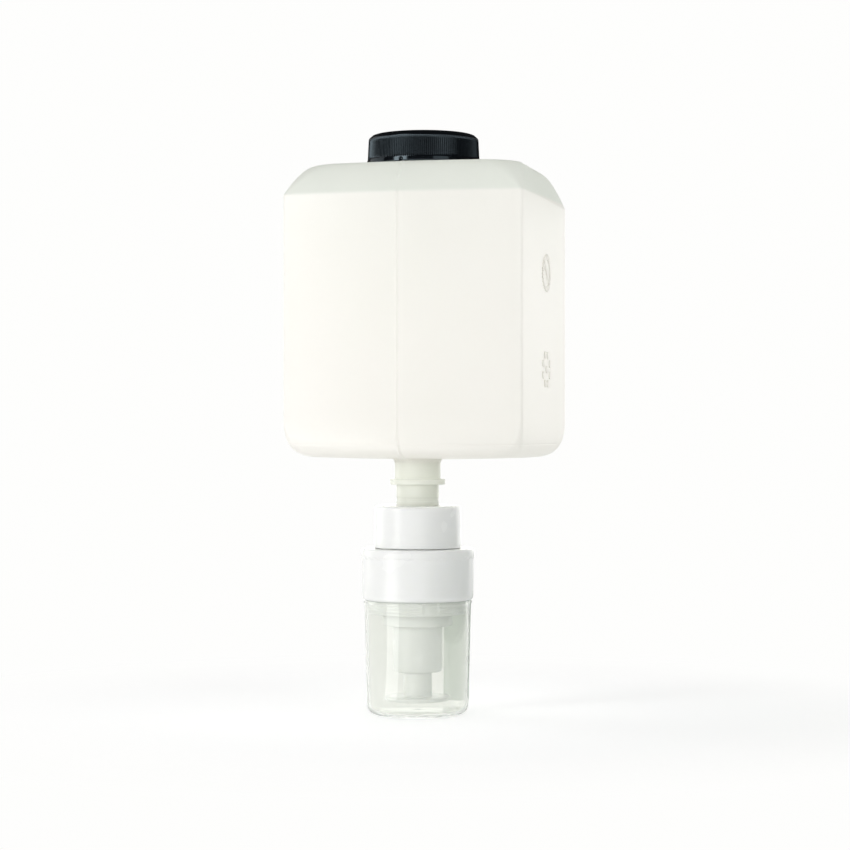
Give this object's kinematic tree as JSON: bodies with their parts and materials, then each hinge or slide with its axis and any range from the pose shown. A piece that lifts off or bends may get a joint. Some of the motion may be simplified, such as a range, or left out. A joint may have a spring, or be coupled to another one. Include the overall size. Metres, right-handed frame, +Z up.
{
  "type": "hand soap refill pack",
  "caption": "Inverted foam soap refill: a milky blow-moulded bottle with a ribbed screw cap on top, an outlet neck with a flange, and a foam pump under a clear overcap.",
  "frame": {"origin": "below the middle of the bottle, level with the flat underside of the overcap", "axes": "+Z up along the pump's axis, towards the filler cap; -Y is the front, where the pump stands forward of the bottle's middle; +X is the side with the moulded marks"},
  "size_m": [0.1094, 0.0916, 0.2594],
  "materials": {
    "milky_plastic": "translucent satin",
    "black_plastic": "satin gloss",
    "liner_foam": "matte foam",
    "white_plastic": "semi-gloss",
    "silicone": "matte",
    "spring_steel": "drawn wire",
    "clear_plastic": "clear gloss"
  },
  "bodies": {
    "pack": {"bottle": "milky_plastic", "pump_collar": "white_plastic", "neck_gasket": "silicone", "pump_housing": "white_plastic", "inlet_valve": "silicone", "guide_cover": "white_plastic"},
    "plunger": {"stem": "white_plastic", "air_piston": "white_plastic", "air_valve": "silicone", "liquid_piston": "white_plastic", "outlet_valve": "silicone", "mesh_holder": "white_plastic", "screen_upper": "white_plastic", "screen_lower": "white_plastic", "return_spring": "spring_steel"},
    "overcap": {"overcap": "clear_plastic"},
    "liner": {"cap_liner": "liner_foam"},
    "cap": {"filler_cap": "black_plastic"}
  },
  "joints": [
    {"name": "plunger_press", "type": "slide", "parent": "pack", "child": "plunger", "axis": [0, 0, 1], "range_m": [0, 0.0095], "stiffness_N_per_m": 600, "springref_m": -0.008, "deforming": ["return_spring"]},
    {"name": "overcap_pull", "type": "slide", "parent": "pack", "child": "overcap", "axis": [0, 0, -1], "range_m": [0, 0.055]},
    {"name": "cap_rise", "type": "slide", "parent": "pack", "child": "liner", "axis": [0, 0, 1], "range_m": [0, 0.0063]},
    {"name": "cap_turn", "type": "hinge", "parent": "liner", "child": "cap", "pos_m": [0, -0.006, 0.2525], "axis": [0, 0, 1], "range_deg": [0, 540]}
  ],
  "couplings": [
    {"joint": "cap_turn", "follows": "cap_rise", "rad_per_m": 1496}
  ]
}
